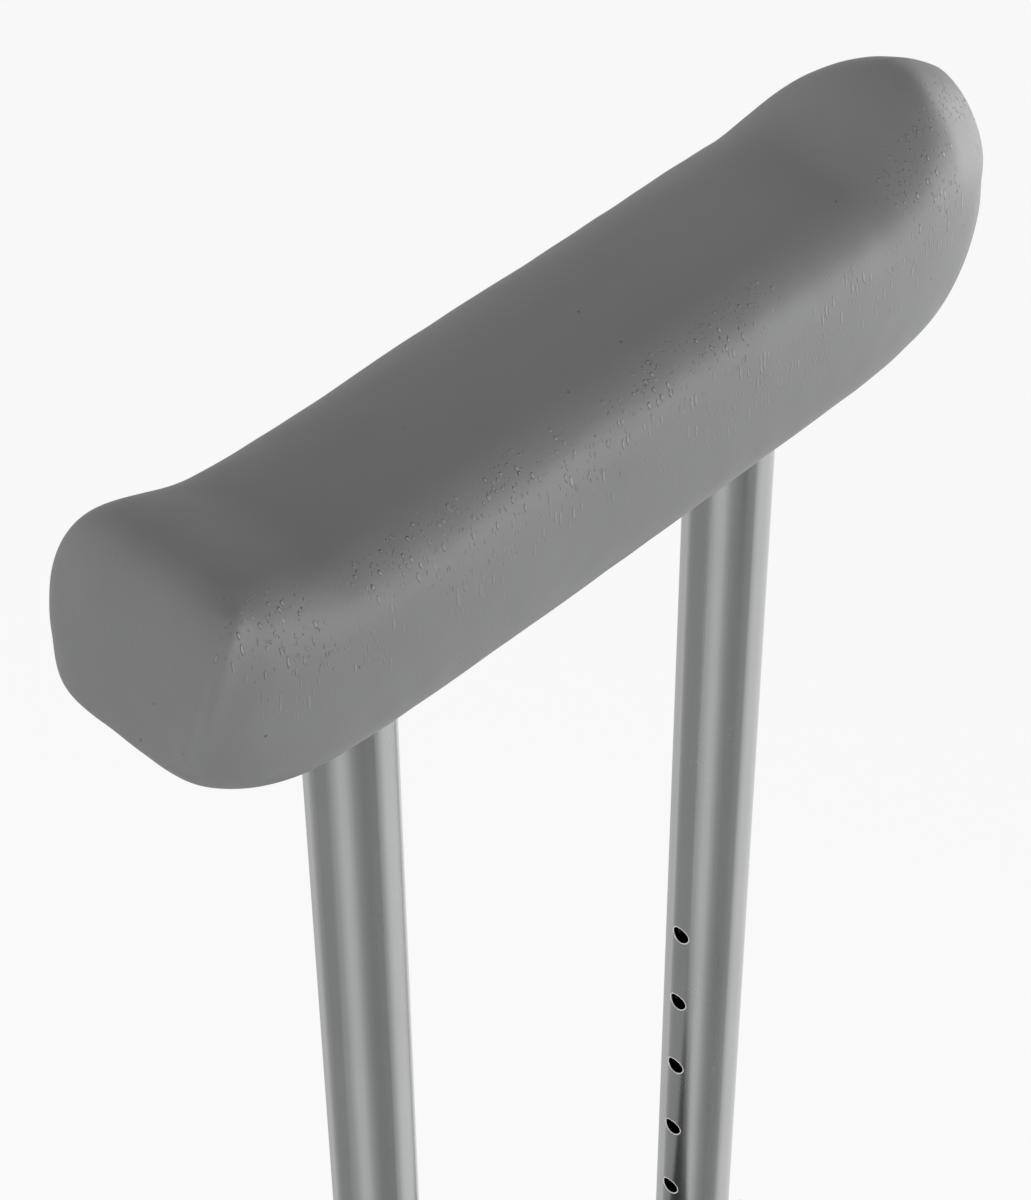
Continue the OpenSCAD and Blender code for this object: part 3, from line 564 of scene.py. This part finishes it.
# points spaced evenly along a line of (r, z)
def spaced(line, step, loop=False):
    line = np.vstack([line, line[:1]]) if loop else line
    far = np.concatenate([[0], np.cumsum(np.hypot(*np.diff(line, axis=0).T))])
    at = np.linspace(0, far[-1], int(far[-1] / step), endpoint=not loop)
    return np.stack([np.interp(at, far, line[:, k]) for k in (0, 1)], -1)


gripShape = dict(half=42.9, radius=17.0, bore=11.35, belly=0.95, edge=4.2, lumps=0.1, lumpSize=13, step=1.1,
                 around=110, seed=11)


# a sleeve turned about X: round ends, an outside that swells to its middle, and a slow random swell
def gripShell(shape):
    corners = [(shape["bore"], -shape["half"]), (shape["radius"], -shape["half"]),
               (shape["radius"], shape["half"]), (shape["bore"], shape["half"])]
    def bulge(angle, r, z):
        outer = ease((r - shape["bore"]) / 4)
        points = np.stack([r * np.cos(angle), r * np.sin(angle), z], -1)
        return outer * (shape["belly"] * (1 - (z / shape["half"]) ** 2)
                        + shape["lumps"] * (swell(points, shape["lumpSize"], shape["seed"]) - 0.6))
    line = rounded(corners, shape["edge"], 9, loop=True)
    sleeve = turned(spaced(line, shape["step"], True), shape["around"], True, bulge)
    return alongX(sleeve, (0, 0, sizes["gripZ"]))


gripFoam = gripShell(gripShape)
for piece in makePair("grip.foam", [gripFoam], finish["gripFoam"], "grip", ["grip_foam"]):
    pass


# fasteners, each drawn about +Z from 0 and then laid along X

# a dome (r, angle) with a cross pressed into it: the cross is where both bars' distances are small
def domeHead(radius, height, recess=1.0, bar=0.55, reach=2.6, around=80):
    r = np.concatenate([np.linspace(0.05, radius - 0.3, 26), [radius - 0.12, radius, radius]])[:, None]
    angle = np.linspace(0, 2 * np.pi, around, endpoint=False)[None, :]
    x, y = r * np.cos(angle), r * np.sin(angle)
    rim = 0.22 * height
    z = rim + (height - rim) * np.sqrt(np.clip(1 - (r / radius) ** 2, 0, 1)) + 0 * angle
    bars = [ease((bar - np.abs(q)) / 0.3 + 0.5) * ease((reach - np.abs(p)) / 0.6)
            for p, q in ((x, y), (y, x))]
    z = z - recess * np.maximum(*bars)
    z[-1] = 0
    return shell(np.stack([x, y, z], -1))


# a shaft along +Z whose radius falls by a triangle wave that climbs one pitch each turn
def threadedShaft(radius, start, threadStart, end, pitch=0.8, depth=0.42, around=36):
    plain, cut = np.linspace(start, threadStart, 12)[:-1], np.arange(threadStart, end, pitch / 8)
    z = np.concatenate([plain, cut, [end]])[:, None]
    angle = np.linspace(0, 2 * np.pi, around, endpoint=False)[None, :]
    wave = np.abs(2 * ((z / pitch - angle / (2 * np.pi)) % 1) - 1)
    r = radius - depth * wave * ease((z - threadStart) / 1.2) - 0.9 * ease((z - end + 0.9) / 0.9)
    return shell(np.stack([r * np.cos(angle), r * np.sin(angle), z + 0 * r], -1))


# a six-sided nut: its radius is the smaller of the hexagon's and of a cone's at both ends; a dome closes it
def domeNut(flats, height, dome, around=96):
    over = height + dome * np.sin(np.linspace(0.1, 1.5, 12))
    z = np.concatenate([np.linspace(0, height, 15), over])[:, None]
    angle = np.linspace(0, 2 * np.pi, around, endpoint=False)[None, :]
    hexagon = flats / 2 / np.cos((angle + np.pi / 6) % (np.pi / 3) - np.pi / 6)
    cone = flats / 2 + 1.5 * np.minimum(z, height - z)
    ball = 0.47 * flats * np.sqrt(np.clip(1 - ((z - height) / dome) ** 2, 0, 1))
    r = np.where(z > height, ball, np.minimum(hexagon, cone))
    return shell(np.stack([r * np.cos(angle), r * np.sin(angle), z + 0 * r], -1))


boltShape = dict(seat=34.75, radius=2.5, headRadius=5.25, head=3.2, flats=8.0, nut=4.0, dome=2.67,
                 threadFrom=28, end=38.55)


# two bolts through the uprights and the centre tube, each with its nut
def makeFrameBolts(shape):
    levels = [sizes["boltLow"] + i * sizes["boltPitch"] for i in (0, 1)]
    head = domeHead(shape["headRadius"], shape["head"])
    shaft = threadedShaft(shape["radius"], -shape["seat"] - 0.1, shape["threadFrom"], shape["end"])
    nut = domeNut(shape["flats"], shape["nut"], shape["dome"])
    bolts = [alongX(head, (-shape["seat"], 0, z), flip=True) for z in levels]
    bolts += [alongX(shaft, (0, 0, z)) for z in levels]
    makePair("frame.bolts", bolts, finish["steel"], "frame", ["frame_bolts"])
    nuts = [alongX(nut, (shape["seat"], 0, z)) for z in levels]
    makePair("frame.nuts", nuts, finish["steel"], "frame", ["frame_nuts"])


makeFrameBolts(boltShape)

gripBoltShape = dict(seat=70.25, radius=2.4, headRadius=5.5, head=3.6, recess=1.2, threadFrom=58, end=80.8)


# the long bolt through both uprights and the grip's core
def makeGripBolt(shape):
    head = domeHead(shape["headRadius"], shape["head"], recess=shape["recess"])
    shaft = threadedShaft(shape["radius"], -shape["seat"] - 0.1, shape["threadFrom"], shape["end"])
    bolt = [alongX(head, (-shape["seat"], 0, sizes["gripZ"]), flip=True),
            alongX(shaft, (0, 0, sizes["gripZ"]))]
    makePair("grip.bolt", bolt, finish["steel"], "grip", ["grip_bolt"])


makeGripBolt(gripBoltShape)

wingShape = dict(foot=70.55, bore=2.5, hubBottom=5.5, hubTop=4.25, hub=6.0, hubChamfer=1.4, boss=0.5,
                 reach=15.0, neck=2.9, ear=5.5, thick=2.3, dish=0.3, dishAt=9.7, tilt=24)


# one wing: an outline (angle a) drawn in towards its middle as b leaves the equator, thickness from b,
# a shallow dish in the ear; then tilted up and moved to the hub's middle
def wing(shape, turn):
    b = np.linspace(-np.pi / 2, np.pi / 2, 31)[1:-1][:, None]
    a = np.linspace(0, 2 * np.pi, 72, endpoint=False)[None, :]
    half = shape["reach"] / 2
    x = half + half * np.cos(a)
    width = shape["neck"] + (shape["ear"] - shape["neck"]) * ease((x - 1) / 8)
    z = width * np.sign(np.sin(a)) * np.abs(np.sin(a)) ** 0.8
    draw = np.cos(b) ** 0.3
    x, z = half + (x - half) * draw, z * draw
    dish = 1 - shape["dish"] * np.exp(-((x - shape["dishAt"]) ** 2 + z ** 2) / 8)
    y = shape["thick"] / 2 * np.sign(np.sin(b)) * np.abs(np.sin(b)) ** 0.7 * dish
    tilt = math.radians(shape["tilt"])
    rings = np.stack([turn * (x * math.cos(tilt) - z * math.sin(tilt)), turn * y,
                      x * math.sin(tilt) + z * math.cos(tilt) + shape["hub"] / 2], -1)
    return shell(rings)


# a turned hub with two wings on it
def makeWingNut(shape):
    low, high = shape["hubBottom"], shape["hubTop"]
    hub = rounded([(shape["bore"], 0), (low + shape["boss"], 0), (low, shape["hubChamfer"]),
                   (high, shape["hub"]), (shape["bore"], shape["hub"])], 0.5, loop=True)
    parts = [turned(hub, 64, loop=True), wing(shape, 1), wing(shape, -1)]
    parts = [alongX(part, (shape["foot"], 0, sizes["gripZ"])) for part in parts]
    makePair("wing.nut", parts, finish["steel"], "wing_nut", ["wing_nut"])


makeWingNut(wingShape)

# the spring strip that holds the two snap buttons out, drawn as a rigid solid; mm
springShape = dict(width=7.5, thick=0.8, edge=0.3, bendFrom=34.0, bendTo=6.0, turnSteps=24, armSteps=30)


# half of a U of strip: a quarter circle, then a straight arm; the strip's section is a rounded bar
def springHalf(shape, low, high, side):
    half, thick = shape["width"] / 2, shape["thick"] / 2
    reach = (high[1] - low[1]) / 2 - thick
    middle = low[2] + reach + thick
    onTurn, onArm = np.zeros(shape["turnSteps"]), np.zeros(shape["armSteps"])
    turn = np.concatenate([np.linspace(-np.pi / 2, 0, len(onTurn)), onArm])[:, None]
    climb = np.concatenate([onTurn, np.linspace(0, high[2] - middle, len(onArm) + 1)[1:]])[:, None]
    section = [(-half, -thick), (half, -thick), (half, thick), (-half, thick)]
    x, out = rounded(section, shape["edge"], 4, loop=True).T
    y = side * (reach + out) * np.cos(turn)
    z = middle + climb + (reach + out) * np.sin(turn)
    return shell(np.stack([x + 0 * y, y, z], -1))


# each half is drawn in the box of its crutch's spring solid, on the side of its own button
def makeSprings(shape):
    for crutch, y in crutches.items():
        low, high = (1000 * np.array(corner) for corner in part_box(crutch + "_button_spring"))
        for side, button in ((1, "left"), (-1, "right")):
            half = moved(springHalf(shape, low, high, side), (0, y, 0))
            piece = makeMesh(crutch + "." + button + ".spring", [half], finish["steel"])
            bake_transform(piece)
            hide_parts(crutch + "_button_spring")


makeSprings(springShape)
print("grips, fasteners and springs made")


# collar and tip

collarShape = dict(foot=145.2, sleeve=12.85, lip=11.2, outer=16.0, height=19.0, under=5.15, seat=-0.15,
                   edge=1.5, flutes=30, depth=0.7)


# a bush turned about Z, with flutes cut round its outside between two plain bands
def collarShell(shape):
    low, high = -shape["under"], shape["height"]
    inside, outer, edge, seat = (shape[k] for k in ("sleeve", "outer", "edge", "seat"))
    corners = [(shape["lip"], low), (outer - edge, low), (outer, low + edge), (outer, high - 2 * edge),
               (outer - edge, high), (inside, high), (inside, seat), (shape["lip"], seat)]
    def bulge(angle, r, z):
        band = ease((z - low - 3.2) / 1.2) * ease((high - 5 - z) / 1.2) * ease((r - outer + 0.6) / 0.3)
        return -shape["depth"] * band * (0.5 + 0.5 * np.cos(shape["flutes"] * angle)) ** 2
    line = spaced(rounded(corners, 0.8, 6, loop=True), 0.7, True)
    return moved(turned(line, 240, True, bulge), (0, 0, shape["foot"]))


makePair("collar", [collarShell(collarShape)], finish["plastic"], "frame", ["leg_collar"])

tipShape = dict(base=23.5, foot=9.0, sleeve=17.0, top=14.5, height=60.0, floor=11.0, bore=11.3, bead=1.75,
                beadAt=57.0, grooves=3, groovePitch=5.13, grooveStart=5.55, grooveDepth=1.6, heel=1.6,
                ribs=26, ribDepth=0.55, ribFrom=17, ribTo=52, scallops=24, scallopDepth=0.9,
                step=0.8, around=312)


# a boot turned about Z: a tread with ring grooves, a foot with scallops, a fillet, a tapered sleeve with
# upright ribs, a bead at its mouth, and the socket for the leg
def tipShell(shape):
    base, sleeve, top = shape["base"], shape["sleeve"], shape["top"]
    tread = [(0.01, 0)]
    for i in range(shape["grooves"]):
        r = shape["grooveStart"] + i * shape["groovePitch"]
        wide = shape["groovePitch"] / 2
        tread += [(r, 0), (r, shape["grooveDepth"]), (r + wide, shape["grooveDepth"]), (r + wide, 0)]
    tread += [(base - 2 * shape["heel"], 0), (base - shape["heel"], shape["heel"]), (base, shape["foot"])]
    turn = np.linspace(-np.pi / 2, -np.pi, 10)
    hollow = base - sleeve
    fillet = np.stack([base + hollow * np.cos(turn), shape["foot"] + hollow * (1 + np.sin(turn))], -1)
    turn = np.linspace(-1.2, 1.2, 8)
    bead = np.stack([top + shape["bead"] * np.cos(turn), shape["beadAt"] + shape["bead"] * np.sin(turn)], -1)
    bore, height, floor = shape["bore"], shape["height"], shape["floor"]
    mouth = [(top, height), (bore + 0.3, height), (bore, height - 1), (bore, floor), (0.01, floor)]
    line = np.vstack([rounded(tread, 0.45, 4), fillet[1:], bead, rounded(mouth, 0.6, 4)])
    def bulge(angle, r, z):
        outer = ease((r - shape["bore"] - 1.6) / 0.6)
        ribs = outer * ease((z - shape["ribFrom"]) / 3) * ease((shape["ribTo"] - z) / 3)
        ribs = ribs * (0.5 + 0.5 * np.cos(shape["ribs"] * angle)) ** 3
        foot = ease((r - base + 3.4) / 1.5) * ease((shape["foot"] + 1.5 - z) / 2) * ease((z - 0.2) / 1.4)
        scallop = foot * (0.5 + 0.5 * np.cos(shape["scallops"] * angle)) ** 2
        return -shape["ribDepth"] * ribs - shape["scallopDepth"] * scallop
    return turned(spaced(line, shape["step"]), shape["around"], bulge=bulge)


makePair("tip", [tipShell(tipShape)], finish["rubber"], "leg", ["tip"])
print("collars and tips made")


# studio: white for the camera; white with soft grey cards for metal; a dim ceiling and panels for the rest

studio = dict(
    backdrop=0.957, floorLevel=-0.16, floorHalf=60.0, floorBright=0.984,  # the floor is under the longest leg
    ceiling=0.3, level=0.86,
    # soft panels that matt surfaces see: azimuth, height (degrees), brightness added or, below 0, taken off
    panels=[(180, 12, 1.6), (135, 12, 1.25), (90, 12, 1.1), (45, 12, -0.1), (0, 12, 0.3), (-45, 12, 0.7),
            (-90, 12, -0.6), (-135, 12, 0.55), (-60, 45, 0.36), (-120, 45, -0.05), (180, 45, -0.46),
            (0, 45, -0.3), (60, 45, -0.9), (120, 45, -0.63), (0, 90, -0.6)],
    panelSoft=(52, 10),
    # cards that metal sees: azimuth, half width of the dark part and of its soft edge (degrees), depth
    cards=[(146, 22, 54, 0.70), (72, 8, 42, 0.45), (262, 6, 52, 0.74), (210, 2, 34, 0.36),
           (335, 6, 60, 0.25)],
    gloss=1.0,  # how bright the white between the cards is
    # the real floor's share in what the camera sees, its share in what other light sees, and their glow
    floorShow=0.1, floorPaper=0.2, floorGlow=0.21,
    lamps=dict(
        sideLamp=dict(azimuth=-90, height=0.66, distance=2.0, size=0.8, power=18.9, aim=1.1),
        endLamp=dict(azimuth=-22, height=0.7, distance=1.2, size=0.4, power=5.0, aim=1.12),
        lowLamp=dict(azimuth=0, height=0.8, distance=1.2, size=0.4, power=2.6, aim=1.12),
        cornerLamp=dict(azimuth=-22, height=1.0, distance=0.43, size=0.1, power=0.25, aim=1.12),
        # these three only give the pads' skin its sheen
        sideSheen=dict(azimuth=-74, height=0.85, distance=1.5, size=0.9, power=7.8, aim=1.11, sheen=True),
        middleSheen=dict(azimuth=-36, height=0.8, distance=1.5, size=0.8, power=3.0, aim=1.11, sheen=True),
        endSheen=dict(azimuth=-6, height=0.88, distance=1.5, size=0.9, power=5.4, aim=1.11, sheen=True)))


# adds soft round panels to a brightness: each is full inside its inner angle and gone at its outer one
def addPanels(tree, way, value, panels, soft):
    outer, inner = (math.cos(math.radians(angle)) for angle in soft)
    for azimuth, height, strength in panels:
        turn, rise = math.radians(azimuth), math.radians(height)
        middle = (math.cos(turn) * math.cos(rise), math.sin(turn) * math.cos(rise), math.sin(rise))
        facing = addNode(tree, "VectorMath", {0: way, 1: middle}, operation="DOT_PRODUCT").outputs["Value"]
        value = calc(tree, "ADD", value, remap(tree, facing, outer, inner, 0.0, strength))
    return value


# the world's brightness by the way a ray goes: the backdrop for the camera, white less the cards for mirror
# rays, and a fall from the horizon to the ceiling with the panels on it for all other light
def makeWorld(shape):
    world = bpy.data.worlds.new("studio")
    bpy.context.scene.world = world
    world.use_nodes = True
    tree = world.node_tree
    tree.nodes.clear()
    way = addNode(tree, "TexCoord").outputs["Generated"]
    flat = addNode(tree, "VectorMath", {0: way, 1: (1, 1, 0)}, operation="MULTIPLY").outputs[0]
    flat = addNode(tree, "VectorMath", {0: flat}, operation="NORMALIZE").outputs[0]
    gloss = shape["gloss"]
    for azimuth, dark, soft, depth in shape["cards"]:
        turn, soft, dark = (math.radians(angle) for angle in (azimuth, soft, dark))
        middle = (math.cos(turn), math.sin(turn), 0)
        facing = addNode(tree, "VectorMath", {0: flat, 1: middle}, operation="DOT_PRODUCT").outputs["Value"]
        left = remap(tree, facing, math.cos(soft), math.cos(dark), 1.0, 1.0 - depth)
        gloss = calc(tree, "MULTIPLY", gloss, left)
    up = addNode(tree, "SeparateXYZ", {0: way}).outputs["Z"]
    above = remap(tree, up, 0.0, 0.9, shape["level"], shape["ceiling"])
    above = addPanels(tree, way, above, shape["panels"], shape["panelSoft"])
    above = calc(tree, "MAXIMUM", above, 0.0)
    path = addNode(tree, "LightPath").outputs
    seen = calc(tree, "MAXIMUM", path["Is Glossy Ray"], path["Is Transmission Ray"])
    value = addNode(tree, "Mix", {"Factor": seen, "A": above, "B": gloss}).outputs["Result"]
    seen = path["Is Camera Ray"]
    value = addNode(tree, "Mix", {"Factor": seen, "A": value, "B": shape["backdrop"]}).outputs["Result"]
    light = addNode(tree, "Background", {"Color": value, "Strength": 1.0})
    addNode(tree, "OutputWorld", {"Surface": light.outputs[0]})


# floor: the camera sees the backdrop's white with a share of the real shading left in it, so the
# shadow stays; metal sees through to the world below
def makeFloor(shape):
    material = bpy.data.materials.new("floor")
    material.use_nodes = True
    tree = material.node_tree
    tree.nodes.clear()
    path = addNode(tree, "LightPath").outputs
    paper = addNode(tree, "BsdfDiffuse", {"Color": (0.95, 0.95, 0.95, 1)}).outputs[0]
    bright = remap(tree, path["Is Camera Ray"], 0.0, 1.0, shape["floorGlow"], shape["floorBright"])
    glow = addNode(tree, "Emission", {"Color": (1, 1, 1, 1), "Strength": bright}).outputs[0]
    clear = addNode(tree, "BsdfTransparent").outputs[0]
    share = remap(tree, path["Is Camera Ray"], 0.0, 1.0, 1 - shape["floorPaper"], 1 - shape["floorShow"])
    floorLight = addNode(tree, "MixShader", {0: share, 1: paper, 2: glow}).outputs[0]
    seen = calc(tree, "MAXIMUM", path["Is Glossy Ray"], path["Is Transmission Ray"])
    result = addNode(tree, "MixShader", {0: seen, 1: floorLight, 2: clear}).outputs[0]
    addNode(tree, "OutputMaterial", {"Surface": result})
    mesh = bpy.data.meshes.new("floor")
    half, z = shape["floorHalf"], shape["floorLevel"]
    corners = [(-half, -half, z), (half, -half, z), (half, half, z), (-half, half, z)]
    mesh.from_pydata(corners, [], [(0, 1, 2, 3)])
    mesh.materials.append(material)
    floor = bpy.data.objects.new("floor", mesh)
    bpy.context.scene.collection.objects.link(floor)


# a round lamp that looks from its height at the point aim metres up over the first crutch; a sheen lamp is
# seen only by the gloss of the pads
def makeLamp(name, azimuth, height, distance, size, power, aim, sheen=False):
    lamp = bpy.data.lights.new(name, "AREA")
    lamp.shape, lamp.size, lamp.energy = "DISK", size, power
    holder = bpy.data.objects.new(name, lamp)
    turn = math.radians(azimuth)
    away = np.array([math.cos(turn), math.sin(turn), 0.0])
    holder.location = away * distance + np.array([0, 0.2, height])
    dip = math.atan2(height - aim, distance)
    holder.rotation_euler = (math.pi / 2 - dip, 0, turn + math.pi / 2)
    holder.visible_glossy, holder.visible_diffuse, holder.visible_camera = sheen, not sheen, False
    if sheen:
        group = bpy.data.collections.new(name)
        for piece in padPieces:
            group.objects.link(piece)
        holder.light_linking.receiver_collection = group
    bpy.context.scene.collection.objects.link(holder)


# a fitted camera: heading is turned from +Y towards +X, dip is below the horizon, roll turns the picture
camera = dict(place=(-0.3689, -0.1462, 1.52254), heading=46.05, dip=42.44, roll=-0.51, lens=97.08)


# the camera looks along its heading and dip, with its picture turned by roll
def makeCamera(shape):
    a, e, roll = (math.radians(shape[k]) for k in ("heading", "dip", "roll"))
    look = np.array([math.sin(a) * math.cos(e), math.cos(a) * math.cos(e), -math.sin(e)])
    level = np.array([math.cos(a), -math.sin(a), 0.0])
    high = np.cross(level, look)
    right = math.cos(roll) * level + math.sin(roll) * high
    up = math.cos(roll) * high - math.sin(roll) * level
    data = bpy.data.cameras.new("photoView")
    data.sensor_width, data.lens = 36.0, shape["lens"]
    data.clip_start, data.clip_end = 0.01, 200
    holder = bpy.data.objects.new("photoView", data)
    turn = np.eye(4)
    turn[:3, 0], turn[:3, 1], turn[:3, 2], turn[:3, 3] = right, up, -look, shape["place"]
    holder.matrix_world = Matrix(turn.tolist())
    bpy.context.scene.collection.objects.link(holder)
    bpy.context.scene.camera = holder


makeWorld(studio)
makeFloor(studio)
for name, values in studio["lamps"].items():
    makeLamp(name, **values)
makeCamera(camera)
bpy.context.scene.view_settings.view_transform = "Standard"
print("studio made")
